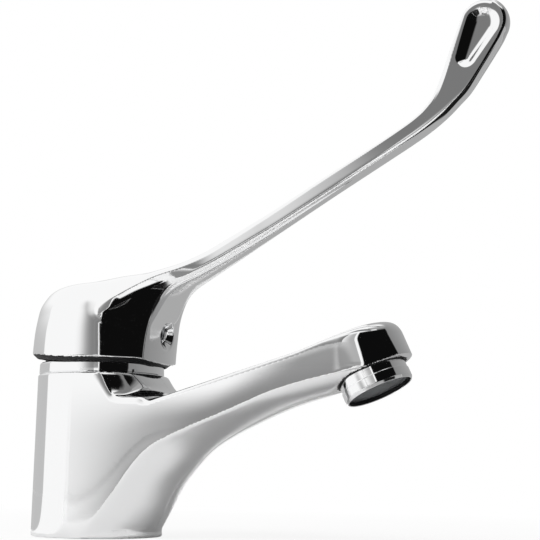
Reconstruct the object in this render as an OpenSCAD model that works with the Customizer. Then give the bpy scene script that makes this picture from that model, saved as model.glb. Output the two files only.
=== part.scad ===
// Single-lever basin mixer tap with a long elbow lever.
// Origin: centre of the foot on the deck. +X is the way the spout points, +Z is up. Millimetres.

/* [Body] */
// Height of the column top above the deck
column_h = 59.4; // [50:0.1:80]
// Wall of the column round the thread of the retaining nut
column_wall = 2.3; // [1.5:0.1:5]
// Growth of the column's radius down to the foot
foot_flare = 0.4; // [0:0.1:4]
// Depth of the cartridge bore below the column top
cartridge_depth = 29.4; // [26:0.1:34]
// Step from the cartridge bore out to the thread of the retaining nut
nut_step = 1.4; // [0.8:0.1:2.5]

/* [Spout] */
// How much narrower the spout is than the column top on each side, at the column axis
spout_inset = 0.5; // [0.2:0.1:3]
// Height of the spout top above the deck, 30 mm in front of the axis
spout_top_z = 50.9; // [46:0.1:56]
// Rise of the spout top, in degrees
spout_rise = 15.7; // [5:0.1:25]
// Radius of the crown across the spout top
spout_crown_r = 150; // [60:1:400]
// Radius of the water channel in the spout
channel_r = 4; // [3:0.1:5]

/* [Outlet] */
// Reach of the outlet centre from the column axis
outlet_x = 112.1; // [90:0.1:140]
// Height of the outlet centre above the deck
outlet_z = 51.9; // [40:0.1:70]
// Forward lean of the outlet axis, in degrees
outlet_lean = 25.2; // [0:0.1:40]
// Radius of the rounded nose
nose_r = 14.6; // [13.5:0.1:18]
// Length of the aerator ring that stands below the nose
aerator_drop = 7; // [4:0.1:12]
// Outer radius of the aerator ring
aerator_r = 12.4; // [11:0.1:13]
// Gap between the nose and the aerator ring
aerator_gap = 0.5; // [0.2:0.1:1]
// Radius of the threaded bore for the aerator
aerator_bore_r = 12; // [11:0.1:13]

/* [Lever cap] */
// Wall of the cap at its rim
cap_wall = 2.8; // [2:0.1:5]
// Gap between the cap and the cover ring
cap_clear = 0.5; // [0.3:0.1:2]
// Height of the cap rim above the column top, at its sides
rim_gap = 4.3; // [3.5:0.1:8]
// Fall of the rim towards the front, in degrees
rim_front_fall = 2.4; // [0:0.1:6]
// Rise of the rim towards the back, in degrees
rim_back_rise = 7.6; // [0:0.1:14]
// Backward lean of the cap, in degrees
cap_lean = 4.5; // [0:0.1:10]
// Height of the set screw axis above the rim, at the front of the cap
set_screw_rise = 10.3; // [8:0.1:14]
// Radius of the countersunk dish round the set screw
dish_r = 4.8; // [3.5:0.1:7]

/* [Lever] */
// Radius of the rounded end of the paddle
paddle_r = 8.3; // [6:0.1:12]
// Depth of the thumb recess on each side of the paddle
recess_depth = 1.8; // [0.5:0.1:2.2]

/* [Cartridge] */
// Radius of the cartridge housing
housing_r = 20.1; // [18:0.1:21]
// Depth of the lever pivot below the column top
pivot_drop = 4.4; // [2:0.1:8]
// Forward lean of the stem with the tap closed, in degrees
stem_lean = 10; // [0:0.5:15]
// Width of the square stem
stem_w = 8; // [6:0.1:10]
// Distance from the pivot to the ball on the tail of the stem
tail_len = 12; // [9:0.1:14]
// Radius of the ball on the tail of the stem
ball_r = 3; // [2:0.1:4]
// Radius of the pivot pin
pin_r = 1.5; // [1:0.1:2.5]
// Width of the glide ring round the neck of the turret
glide_w = 4.15; // [3:0.05:6]
// Thickness of each ceramic disc
disc_t = 3; // [2:0.1:4]
// Radius of the water ports
port_r = 3.2; // [2:0.1:4]

/* [Cover ring] */
// Step in from the column top to the foot of the cover ring
cover_step = 0.4; // [0.2:0.1:2]
// Height of the cover ring
cover_h = 7; // [4:0.1:10]

/* [Foot] */
// Reach behind the axis of the two inlets
inlet_back = 5; // [3:0.1:10]
// Distance of each inlet from the middle
inlet_side = 8.5; // [7:0.1:12]
// Radius of the inlet thread bores
inlet_r = 4.5; // [3:0.05:6]
// Depth of the inlet thread bores
inlet_depth = 14; // [8:0.5:20]
// Reach of the fixing stud in front of the axis
stud_x = 10.5; // [8:0.1:14]
// Radius of the fixing stud thread bore
stud_r = 3.4; // [2.5:0.05:5]
// Depth of the fixing stud thread bore
stud_depth = 9; // [6:0.5:10]
// Distance from the edge of the foot in to the middle of the foot seal
foot_seal_in = 3.9; // [3:0.1:6]
// Width of the foot seal
foot_seal_w = 2.6; // [1.5:0.1:4]
// Height of the foot seal
foot_seal_h = 2; // [1:0.1:3]

/* [Fits] */
// Radial gap of parts that turn in each other
turn_gap = 0.1; // [0.05:0.01:0.3]
// Gap of parts that are pushed or screwed together
seat_gap = 0.05; // [0.02:0.01:0.2]
// Gap between flat faces that slide
slide_gap = 0.05; // [0.02:0.01:0.2]

/* [Hidden] */
$fn = 96;

// Radii that follow from the cartridge outwards
housing_wall = 2;
cartridge_bore_r = housing_r + turn_gap;
nut_bore_r = cartridge_bore_r + nut_step;
column_top_r = nut_bore_r + column_wall;
foot_r = column_top_r + foot_flare;
spout_root_half = column_top_r - spout_inset;
cover_r = column_top_r - cover_step;
cap_bore_r = cover_r + cap_clear;
cap_r = cap_bore_r + cap_wall;
foot_seal_r = foot_r - foot_seal_in;
turret_r = housing_r - housing_wall - seat_gap - turn_gap - glide_w;
neck_r = turret_r + turn_gap + 2;
nut_lip_r = neck_r + 4.1;
cover_lip_r = neck_r + 2.1;

// Levels of the cartridge stack, and of what stands on the column
seat_z = column_h - cartridge_depth;
pivot_z = column_h - pivot_drop;
rim_z = column_h + rim_gap;
set_screw_z = rim_z + set_screw_rise;
base_z = seat_z + 0.6;
fixed_z = base_z + 3.2;
moving_z = fixed_z + disc_t + slide_gap;
carrier_z = moving_z + disc_t;
turret_z = seat_z + 14.2;
flange_t = 2.8;
glide_t = 1.2;
shoulder_z = turret_z + flange_t + glide_t + 2 * slide_gap;
housing_top = column_h - 7.4;
neck_top = column_h + 2.6;
turret_top = column_h + 3.6;
mix_x = 9;
ball_z = pivot_z - tail_len * cos(stem_lean);
ball_x = -tail_len * sin(stem_lean);
cap_front_x = cap_r + 1.2;
set_h = cap_front_x * sin(stem_lean) + (set_screw_z - pivot_z) * cos(stem_lean);
set_out = cap_front_x * cos(stem_lean) - (set_screw_z - pivot_z) * sin(stem_lean);

// A smooth curve through control points p, at parameter t from 0 to len(p) - 1
function curve(p, t) =
  let (
    n = len(p),
    i = min(max(floor(t), 0), n - 2),
    u = t - i,
    a = i > 0 ? p[i - 1] : 2 * p[0] - p[1],
    b = p[i],
    c = p[i + 1],
    d = i < n - 2 ? p[i + 2] : 2 * p[n - 1] - p[n - 2]
  )
  0.5 * (2 * b + (c - a) * u + (2 * a - 5 * b + 4 * c - d) * u * u + (3 * b - a - 3 * c + d) * u * u * u);

// A solid through rings of points, every ring with the same count
module loft(rings) {
  n = len(rings[0]);
  m = len(rings);
  points = [for (r = rings) for (q = r) q];
  walls = [
    for (k = [0 : m - 2]) for (j = [0 : n - 1])
      let (a = k * n + j, b = k * n + (j + 1) % n)
      for (tri = [[a, b, b + n], [a, b + n, a + n]]) tri
  ];
  ends = [[for (j = [n - 1 : -1 : 0]) j], [for (j = [0 : n - 1]) (m - 1) * n + j]];
  polyhedron(points, concat(walls, ends), convexity = 6);
}

// The outlet axis as a frame: z runs up into the nose, 0 is the outlet face
module at_outlet() {
  translate([outlet_x, 0, outlet_z])
    rotate([0, -outlet_lean, 0])
      children();
}

// The stem axis as a frame: z runs up the stem, 0 is the pivot
module at_stem() {
  translate([0, 0, pivot_z])
    rotate([0, stem_lean, 0])
      children();
}

module tube(r_out, r_in, h) {
  difference() {
    cylinder(r = r_out, h = h);
    translate([0, 0, -1])
      cylinder(r = r_in, h = h + 2);
  }
}

// Side of the spout: half width at reach x, and reach of the nose axis at height z
spout_taper = (spout_root_half - nose_r) / (outlet_x - 3);
function spout_half(x) = spout_root_half - spout_taper * x;
function nose_axis(z) = outlet_x - (z - outlet_z) * tan(outlet_lean);

// Underside of the spout: height, reach of the crease at the side, reach of the keel
keel = [
  [0.8, 8.6, 23.6], [9, 15.2, 28.2], [18.5, 22.0, 33.2], [26, 27.3, 39.8], [32.4, 34, 46.8],
  [38, 45.5, 56.3], [43.6, 59.5, 68.5], [47.8, 69.6, 80.2], [51.6, 78.5, 95], [55, 89.5, 109],
  [58, 102, 121], [60, 108, 130]
];
slices_per_step = 3;
front_points = 28;

// One level slice of the spout: crease reach xc, keel reach xf, height z
function spout_slice(z, xc, xf) =
  let (
    half = spout_half(xc),
    nose_x = nose_axis(z),
    nose_half = spout_half(nose_x)
  )
  concat(
    [[0, spout_root_half, z]],
    [
      for (k = [0 : front_points])
        let (
          u = 1 - 2 * k / front_points,
          y = half * (0.55 * u + 0.45 * sin(90 * u)),
          keel_x = xf - (xf - xc) * y * y / (half * half),
          tip_x = nose_x + sqrt(max(nose_half * nose_half - y * y, 0)) / cos(outlet_lean)
        )
        [min(keel_x, max(tip_x, xc)), y, z]
    ],
    [[0, -spout_root_half, z]]
  );

module spout() {
  steps = (len(keel) - 1) * slices_per_step;
  low = [
    for (s = [0 : steps])
      let (q = curve(keel, s / slices_per_step)) spout_slice(q[0], q[1], q[2])
  ];
  nose = [
    for (z = [outlet_z + 10.1, outlet_z + 30.1])
      spout_slice(z, nose_axis(z), 150)
  ];
  difference() {
    intersection() {
      loft(concat(low, nose));
      translate([30, 0, spout_top_z])
        rotate([0, 90 - spout_rise, 0])
          translate([spout_crown_r, 0, -150])
            cylinder(r = spout_crown_r, h = 320, $fn = 360);
    }
    at_outlet()
      translate([0, 0, aerator_drop - 40])
        cylinder(r = 34, h = 40);
  }
}

// The hollow between the column and the spout top
module neck() {
  neck_end = column_top_r + 16.1;
  intersection() {
    rotate_extrude()
      polygon([
        [10, spout_top_z - 6.9], [10, column_h - 0.2], [column_top_r - 0.3, column_h - 0.2],
        [column_top_r + 3.7, spout_top_z + 2.8], [column_top_r + 5.7, spout_top_z + 1.1],
        [column_top_r + 8.3, spout_top_z + 0.3], [column_top_r + 11.6, spout_top_z - 0.1],
        [column_top_r + 15.1, spout_top_z - 4.9], [column_top_r + 15.1, spout_top_z - 6.9]
      ]);
    translate([0, 0, spout_top_z - 10.9])
      linear_extrude(30)
        polygon([
          [2, 0.4 - spout_half(2)], [neck_end, 0.4 - spout_half(neck_end)],
          [neck_end, spout_half(neck_end) - 0.4], [2, spout_half(2) - 0.4]
        ]);
  }
}

module channel(from, to, r) {
  run = to - from;
  translate(from)
    rotate([0, atan2(run[0], run[2]), 0])
      cylinder(r = r, h = norm(run));
}

module body() {
  bend_at = [60, 0, spout_top_z - 2.4];
  color("silver")
    difference() {
      union() {
        rotate_extrude()
          polygon([
            [0, 0], [foot_r - 0.7, 0], [foot_r, 0.7], [column_top_r, column_h - 0.7],
            [column_top_r - 0.7, column_h], [0, column_h]
          ]);
        spout();
        neck();
      }
      // cartridge bore with its threaded counterbore
      translate([0, 0, seat_z])
        cylinder(r = cartridge_bore_r, h = 60);
      translate([0, 0, housing_top - 3])
        cylinder(r = nut_bore_r, h = 40);
      // inlets with their waterways
      for (s = [-1, 1])
        translate([-inlet_back, s * inlet_side, 0]) {
          translate([0, 0, -1])
            cylinder(r = inlet_r, h = inlet_depth + 1);
          cylinder(r = port_r, h = seat_z + 1);
        }
      translate([stud_x, 0, -1])
        cylinder(r = stud_r, h = stud_depth + 1);
      // mixed water: down from the seat, along the spout, into the outlet
      translate([mix_x, 0, 14])
        cylinder(r = port_r + 0.6, h = seat_z - 13);
      channel([mix_x, 0, 15.5], bend_at, channel_r);
      translate(bend_at)
        sphere(r = channel_r + 0.3);
      channel(bend_at, [outlet_x - 7.1, 0, outlet_z + 14.7], channel_r);
      at_outlet() {
        translate([0, 0, aerator_drop - 5])
          cylinder(r = aerator_bore_r, h = 14);
        translate([0, 0, aerator_drop + 8])
          cylinder(r = 8, h = 3);
      }
      // groove for the foot seal
      translate([0, 0, -1])
        tube(foot_seal_r + foot_seal_w / 2, foot_seal_r - foot_seal_w / 2, foot_seal_h + 1);
    }
}

module base_seal() {
  color("dimgray")
    tube(foot_seal_r + foot_seal_w / 2 - seat_gap, foot_seal_r - foot_seal_w / 2 + seat_gap, foot_seal_h);
}

// Places of the three ports
hot_at = [-inlet_back, inlet_side];
cold_at = [-inlet_back, -inlet_side];
mix_at = [mix_x, 0];

module port_seal(at) {
  color("black")
    translate([at[0], at[1], seat_z])
      tube(port_r + 2, port_r + 0.7, 1.6);
}

module seal_hot() {
  port_seal(hot_at);
}

module seal_cold() {
  port_seal(cold_at);
}

module seal_mix() {
  port_seal(mix_at);
}

module cartridge_base() {
  color("white")
    translate([0, 0, base_z])
      difference() {
        cylinder(r = housing_r - housing_wall - seat_gap, h = fixed_z - base_z);
        for (at = [hot_at, cold_at, mix_at])
          translate([at[0], at[1], -1]) {
            cylinder(r = port_r, h = 20);
            cylinder(r = port_r + 2 + seat_gap, h = 2);
          }
      }
}

module fixed_disc() {
  color("ivory")
    translate([0, 0, fixed_z])
      difference() {
        cylinder(r = housing_r - housing_wall - seat_gap, h = disc_t);
        for (at = [hot_at, cold_at, mix_at])
          translate([at[0], at[1], -1])
            cylinder(r = port_r, h = 20);
      }
}

module moving_disc() {
  color("white")
    translate([ball_x, 0, moving_z])
      difference() {
        cylinder(r = turret_r, h = disc_t);
        translate([4, 0, -1])
          cylinder(r = 7, h = 2.8);
      }
}

module disc_carrier() {
  color("gray")
    translate([ball_x, 0, carrier_z])
      difference() {
        cylinder(r = turret_r, h = turret_z - slide_gap - carrier_z);
        translate([0, 0, ball_z - carrier_z - ball_r - 0.3])
          cylinder(r = ball_r + turn_gap, h = 20);
      }
}

module cartridge_housing() {
  color("whitesmoke")
    rotate_extrude()
      polygon([
        [housing_r - housing_wall, base_z], [housing_r, base_z], [housing_r, housing_top],
        [neck_r, housing_top],
        [neck_r, neck_top], [turret_r + turn_gap, neck_top], [turret_r + turn_gap, shoulder_z],
        [housing_r - housing_wall, shoulder_z]
      ]);
}

module glide_ring() {
  color("white")
    translate([0, 0, turret_z + flange_t + slide_gap])
      tube(housing_r - housing_wall - seat_gap, turret_r + turn_gap, glide_t);
}

module turret() {
  color("lightgray")
    difference() {
      union() {
        translate([0, 0, turret_z])
          cylinder(r = housing_r - housing_wall - turn_gap, h = flange_t);
        translate([0, 0, turret_z])
          cylinder(r = turret_r, h = turret_top - turret_z);
      }
      translate([-8, -stem_w / 2 - turn_gap, turret_z - 1])
        cube([15.5, stem_w + 2 * turn_gap, 40]);
      translate([0, 0, pivot_z])
        rotate([90, 0, 0])
          cylinder(r = pin_r, h = 60, center = true);
    }
}

module pivot_pin() {
  color("silver")
    translate([0, 0, pivot_z])
      rotate([90, 0, 0])
        cylinder(r = pin_r, h = 2 * (turret_r - 1), center = true);
}

module stem() {
  color("goldenrod")
    at_stem()
      difference() {
        union() {
          translate([-stem_w / 2, -stem_w / 2, -3.5])
            cube([stem_w, stem_w, 32.5]);
          translate([0, 0, -tail_len])
            cylinder(r = ball_r - 1, h = tail_len);
          translate([0, 0, -tail_len])
            sphere(r = ball_r);
        }
        rotate([90, 0, 0])
          cylinder(r = pin_r + seat_gap, h = 60, center = true);
      }
}

module retaining_nut() {
  color("gold")
    rotate_extrude()
      polygon([
        [neck_r + 0.3, housing_top], [nut_bore_r - seat_gap, housing_top], [nut_bore_r - seat_gap, column_h],
        [nut_lip_r, column_h], [nut_lip_r, column_h + 4], [neck_r + 0.3, column_h + 4]
      ]);
}

module cover_ring() {
  color("silver")
    rotate_extrude()
      polygon([
        [nut_lip_r + seat_gap, column_h], [cover_r - 0.5, column_h], [cover_r, column_h + 0.5],
        [cover_r - 0.15, column_h + 2.6], [cover_r - 0.55, column_h + 4.6],
        [cover_r - 1.2, column_h + cover_h - 0.5], [cover_r - 2, column_h + cover_h],
        [cover_lip_r, column_h + cover_h], [cover_lip_r, column_h + 4.6],
        [nut_lip_r + seat_gap, column_h + 4.6]
      ]);
}

// Cap of the lever, about its own leaning axis, heights from the rim
cap_profile = [
  [0, -8.7], [cap_r - 0.3, -8.7], [cap_r - 0.4, 0.3], [cap_r - 0.9, 6.1], [cap_r - 1.8, 12.6],
  [cap_r - 2.9, 17.7], [cap_r - 4.2, 22.2], [cap_r - 6.6, 25.8], [cap_r - 8.8, 27.9],
  [cap_r - 11.6, 29.3], [cap_r - 15.2, 30], [0, 30.5]
];

module cap() {
  translate([0, 0, rim_z])
    rotate([0, -cap_lean, 0])
      rotate_extrude()
        polygon(cap_profile);
}

// Lever from the front of the cap to the paddle: lower edge x z, top x z, half width, keel depth,
// and how fast the sides spread towards the cap. Reaches are from the side of the cap, heights from
// its rim.
lever_rows = [
  [-2.3, -5.7, -13.8, -5.7, 13.1, 2.2, 0.95], [-2.1, 2.3, -14.8, 2.3, 13.1, 2.2, 0.87],
  [-1.25, 10.3, -17.8, 11.1, 12.75, 2.2, 0.67], [0.05, 16.3, -17.8, 18.6, 11.8, 2, 0.57],
  [2.4, 21.6, -14.8, 25.3, 10.5, 1.9, 0.5], [5.4, 25.5, -9.8, 30.5, 9, 1.7, 0.42],
  [9.6, 28.5, -2.8, 34.1, 7.6, 1.4, 0.32], [15.2, 31.3, 7.2, 37.5, 6.6, 1.2, 0.2],
  [22.2, 34.9, 17.4, 41.3, 5.9, 1.1, 0.08], [29.7, 38.7, 26, 45.3, 5.3, 1, 0],
  [39.2, 43.6, 36, 50.2, 4.4, 0.8, 0], [48.6, 48.5, 45.6, 55, 3.8, 0.6, 0],
  [67.3, 58.7, 64.2, 65, 3.3, 0.5, 0], [83.2, 67.3, 80.2, 73.3, 3.1, 0.5, 0],
  [97.5, 75.1, 93.9, 80.8, 3, 0.5, 0], [104.4, 79.3, 99.8, 84.7, 3, 0.5, 0],
  [109.9, 83.4, 103.5, 88.5, 3, 0.5, 0], [114.1, 87.3, 105.6, 91.7, 3, 0.5, 0],
  [117.9, 91.2, 107.1, 94.9, 3, 0.6, 0], [122.4, 97.7, 109.2, 100.3, 3.1, 0.6, 0],
  [126, 103, 111.2, 105.9, 3.2, 0.6, 0], [129.2, 107.9, 114, 113.3, 3.2, 0.6, 0]
];
lever = [for (row = lever_rows) row + [cap_r, rim_z, cap_r, rim_z, 0, 0, 0]];
paddle_at = [cap_r + 123.5, rim_z + 115];
paddle_turn = 62;
lever_steps = 3;
side_points = 7;

// One section of the lever: lower edge, top, half width, keel depth, spread of the sides
function lever_section(low, top, w, keel_d, spread) =
  let (
    span = norm(top - low),
    up = (top - low) / span,
    dome = min(0.45 * span, 0.85 * w)
  )
  concat(
    [
      for (k = [0 : 6])
        let (y = w * (1 - k / 3), h = -keel_d * (1 - y * y / (w * w)))
        [low[0] + up[0] * h, y, low[1] + up[1] * h]
    ],
    [
      for (k = [0 : side_points])
        let (
          a = 180 * k / side_points,
          y = -(w + spread * (span - dome)) * cos(a) * 0.985,
          h = span - dome + dome * sin(a)
        )
        [low[0] + up[0] * h, y, low[1] + up[1] * h]
    ]
  );

module lever_bar() {
  steps = (len(lever) - 1) * lever_steps;
  bar = [
    for (s = [0 : steps])
      let (q = curve(lever, s / lever_steps))
      lever_section([q[0], q[1]], [q[2], q[3]], q[4], q[5], q[6])
  ];
  tip = [
    for (a = [0 : 12 : 84])
      lever_section(
        paddle_at + paddle_r * [cos(paddle_turn - 90 + a), sin(paddle_turn - 90 + a)],
        paddle_at + paddle_r * [cos(paddle_turn + 90 - a), sin(paddle_turn + 90 - a)],
        3.2 - 1.4 * pow(a / 84, 4), 0.6 * cos(a), 0
      )
  ];
  loft(concat(bar, tip));
}

// Thumb recess: a drafted teardrop cut into one side of the paddle
module recess() {
  for (s = [0 : 5])
    translate([paddle_at[0] - 5.9 * s / 5, 0, paddle_at[1] - 12 * s / 5])
      rotate([90, 0, 0])
        translate([0, 0, 3.3 - recess_depth])
          cylinder(r1 = 3.9 - 0.42 * s, r2 = 6.6 - 0.5 * s, h = recess_depth + 0.4);
}

module handle() {
  color("silver")
    difference() {
      union() {
        difference() {
          union() {
            cap();
            lever_bar();
          }
          // room for the cartridge under the cap
          rotate_extrude()
            polygon([
              [0, rim_z - 13.7], [cap_bore_r, rim_z - 13.7], [cap_bore_r, rim_z + 2.3],
              [cap_bore_r - 2, rim_z + 12.3], [cap_bore_r - 4.6, rim_z + 18.3],
              [cap_bore_r - 9.6, rim_z + 23], [0, rim_z + 24.6]
            ]);
          // front and back slopes of the rim
          translate([0, 0, rim_z])
            rotate([0, rim_front_fall, 0])
              translate([-80, -50, -50])
                cube([160, 100, 50]);
          translate([0, 0, rim_z])
            rotate([0, rim_back_rise, 0])
              translate([-80, -50, -50])
                cube([80, 100, 50]);
        }
        // boss for the stem and the set screw
        translate([-9, -7, rim_z + 5.8])
          cube([cap_r + 6.8, 14, 19.5]);
      }
      // socket for the stem
      at_stem()
        translate([-stem_w / 2 - seat_gap, -stem_w / 2 - seat_gap, 0])
          cube([stem_w + 2 * seat_gap, stem_w + 2 * seat_gap, 29.2]);
      // set screw thread and dish
      at_stem()
        translate([0, 0, set_h])
          rotate([0, 90, 0]) {
            cylinder(r = 3 + seat_gap, h = 60);
            translate([0, 0, set_out - 2.8])
              cylinder(r1 = 3, r2 = dish_r + 0.8, h = 4);
          }
      recess();
      mirror([0, 1, 0])
        recess();
    }
}

module set_screw() {
  color("dimgray")
    at_stem()
      translate([stem_w / 2, 0, set_h])
        rotate([0, 90, 0])
          difference() {
            cylinder(r = 3, h = 17);
            translate([0, 0, 11])
              cylinder(r = 1.75, h = 10, $fn = 6);
          }
}

module aerator_housing() {
  color("silver")
    at_outlet()
      rotate_extrude()
        polygon([
          [10.2, 0.3], [10.5, 0], [aerator_r - 0.4, 0], [aerator_r, 0.4], [aerator_r, 4],
          [aerator_r - 0.25, 4.2], [aerator_r - 0.25, aerator_drop - aerator_gap],
          [aerator_bore_r - seat_gap, aerator_drop - aerator_gap], [aerator_bore_r - seat_gap, 13], [10.2, 13]
        ]);
}

module aerator_seal() {
  color("black")
    at_outlet()
      translate([0, 0, 13])
        tube(aerator_bore_r - seat_gap, 9, aerator_drop + 8 - 14);
}

module aerator_insert() {
  color("white")
    at_outlet()
      difference() {
        translate([0, 0, 2.2])
          cylinder(r = 10.2 - seat_gap, h = 10.4);
        for (a = [0 : 60 : 300])
          rotate([0, 0, a])
            translate([5.6, 0, 0])
              cylinder(r = 1.6, h = 40);
        translate([0, 0, 1])
          cylinder(r = 8.6, h = 7);
      }
}

module aerator_screen() {
  color("gray")
    at_outlet()
      translate([0, 0, 1.4])
        difference() {
          cylinder(r = 10.2 - seat_gap, h = 0.8);
          for (x = [-3 : 3])
            for (y = [-3 : 3])
              if (norm([x, y]) < 3.3)
                translate([2.6 * x, 2.6 * y, -1])
                  cylinder(r = 1, h = 4);
        }
}

body();
base_seal();
cartridge_base();
seal_hot();
seal_cold();
seal_mix();
fixed_disc();
moving_disc();
disc_carrier();
cartridge_housing();
turret();
glide_ring();
pivot_pin();
stem();
retaining_nut();
cover_ring();
handle();
set_screw();
aerator_housing();
aerator_seal();
aerator_insert();
aerator_screen();
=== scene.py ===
import math
from collections import namedtuple

import bpy
import numpy as np
from mathutils import Matrix, Vector


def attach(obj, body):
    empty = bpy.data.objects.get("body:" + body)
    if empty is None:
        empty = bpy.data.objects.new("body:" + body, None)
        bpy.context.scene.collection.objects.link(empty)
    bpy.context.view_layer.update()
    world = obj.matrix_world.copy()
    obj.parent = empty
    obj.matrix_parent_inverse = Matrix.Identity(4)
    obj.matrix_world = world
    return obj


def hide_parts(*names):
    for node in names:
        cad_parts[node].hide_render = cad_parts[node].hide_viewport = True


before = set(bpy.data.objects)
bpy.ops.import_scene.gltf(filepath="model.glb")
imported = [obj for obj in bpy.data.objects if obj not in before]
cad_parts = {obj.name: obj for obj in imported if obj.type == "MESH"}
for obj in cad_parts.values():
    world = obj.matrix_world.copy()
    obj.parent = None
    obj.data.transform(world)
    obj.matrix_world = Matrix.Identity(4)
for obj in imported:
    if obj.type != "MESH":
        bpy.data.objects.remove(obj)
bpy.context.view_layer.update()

bl_info = {
    "name": "Elbow lever tap",
    "version": (1, 0, 0),
    "blender": (4, 5, 0),
    "location": "3D View > Sidebar > Tap",
    "description": "Builds a chromed basin mixer tap with a long elbow lever",
    "category": "Add Mesh",
}

MM = 0.001

# Sizes of the body, in millimetres; a span is where along an axis a change starts and ends

COLUMN_FOOT_R = 24.3
COLUMN_TOP = 59.4
COLUMN_DRAFT = 0.4
COLUMN_DRAFT_TOP = 60.0
COLUMN_EDGE = 0.9
BODY_BOX = ((-27, -27, -2), (131, 27, 78))

OUTLET = (112.1, 51.9)
OUTLET_LEAN = math.radians(25.2)
NOSE_R = 14.6
NOSE_START = 102.0
NOSE_REACH = 17.2
NOSE_LEAST = 8.0
NOSE_SETBACK = 3.0
SPOUT_ROOT = 24.2
SPOUT_FIT = 1.0045
SPOUT_TANGENT = 2.1
SPOUT_BACK_DRAFT = 0.15
SPOUT_BACK_R = 23.6

# top of the spout: its slope, a point on it, its crosswise radius and its lift at the nose
SPOUT_RISE = math.radians(16.2)
CROWN = (30.0, 49.4)
CROWN_R = 150.0
CROWN_LIFT = 2.0
CROWN_LIFT_SPAN = (84, 112)
CROWN_EDGE = 1.2
CROWN_EDGE_NOSE = 4.0
CROWN_EDGE_SPAN = (92, 114)

# barrel of the spout's sides: how far they tuck in, along which spans, and their tilt
TUCK = 0.028
TUCK_SPAN = (4, 40)
TUCK_MORE = 0.017
TUCK_MORE_SPAN = (40, 75)
TUCK_BELOW = 0.85
TUCK_CLEAR = 0.5
SIDE_TILT = 0.02
SIDE_TILT_Z = 50.0
SIDE_TILT_SPAN = (24, 60)
BARREL_END_SPAN = (98, 112)

# height, crease x and keel x of the underside of the spout
KEEL = [
    (-6.0, 4.0, 20.5), (0.8, 8.6, 23.6), (9, 15.2, 28.2), (18.5, 22, 33.2), (26, 27.3, 39.8),
    (32.4, 34, 46.8), (38, 45.5, 56.3), (43.6, 59.5, 68.5), (47.8, 69.6, 80.2), (51.6, 78.5, 95),
    (55, 89.5, 109), (58, 102, 121), (60, 108, 130), (64, 118, 150), (82, 160, 190),
]
KEEL_EDGE = 0.6
KEEL_PROBE = 0.5
# radius and height of the valley round the neck of the column, at its sides and in front
NECK = [
    (10, 59.4), (21, 59.4), (24.9, 59.3), (25.5, 58.9), (26.1, 57.3), (26.8, 55.2), (27.4, 53.5),
    (28.1, 51.8), (28.7, 50.9), (29.8, 50.4), (31.5, 50.1), (34, 49.8), (36, 49.3), (39, 46),
    (44, 38), (60, 10),
]
NECK_FRONT = [
    (10, 59.4), (21, 59.4), (24.5, 59.3), (25.4, 58.6), (27.1, 56.5), (28.5, 54.8), (30, 53.4),
    (32, 52.2), (34.5, 51.4), (37, 50.8), (40, 47), (44, 38), (60, 10),
]
NECK_FRONT_SHARE = (0.72, 1.0)
NECK_SLOPE = 0.5
NECK_BLEND = 1.2

# cut in front of the outlet and socket behind it, in the frame of the outlet
BOSS_S = 7.0
BOSS_CUT_R = 34.0
BOSS_EDGE = 0.4
SOCKET_R = 12.0
SOCKET_TOP = 16.0
SOCKET_EDGE = 0.3
# radius and floor of the steps of the cartridge bore
CARTRIDGE_BORES = ((20.2, 30), (21.6, 49))
# x, y, radius and top of the two inlets and the stud hole
FOOT_HOLES = ((-5, 8.5, 4.5, 14), (-5, -8.5, 4.5, 14), (10.5, 0, 3.4, 9))
# middle radius, half width and depth of the groove for the base seal
SEAL_GROOVE = (20.4, 1.3, 2)

# Sizes of the handle, in millimetres

HANDLE_BOX = ((-31, -29, 59), (162, 29, 190))
# radius and height of the outside of the cap, about its own axis, which leans from its foot
CAP = [
    (26.45, 50), (26.45, 57), (26.4, 64), (25.88, 69.8), (25, 76.3), (23.9, 81.4), (22.55, 85.9),
    (20.2, 89.5), (18, 91.6), (15.2, 92.95), (11.6, 93.7), (6.0, 94.05), (0, 94.15),
]
CAP_WAIST = 68.0
CAP_LEAN = math.radians(4.5)
CAP_FOOT = (0, 63.7)
CAP_SLOPE = 0.95
# height and radius of the hollow under the cap
CAP_ROOM = [(50, 24), (66, 24), (76, 22), (82, 19.4), (86.7, 14.4), (88.3, 0)]
CAP_ROOM_SLOPE = 0.85
CAP_ROOM_EDGE = 0.7
# x and height of the lower rim of the cap, from the back to the chin in front
RIM = [
    (-34, 68.5), (-15, 66.4), (-6, 65.3), (2, 64.8), (12, 64.7), (20, 64.6), (24.3, 64.3),
    (26.4, 63.5), (29, 62.2),
]
RIM_R = 26.3
RIM_WALL = 2.4
RIM_DRAFT = 0.8
RIM_SLOPE = 0.8
RIM_EDGE = 0.5
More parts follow.
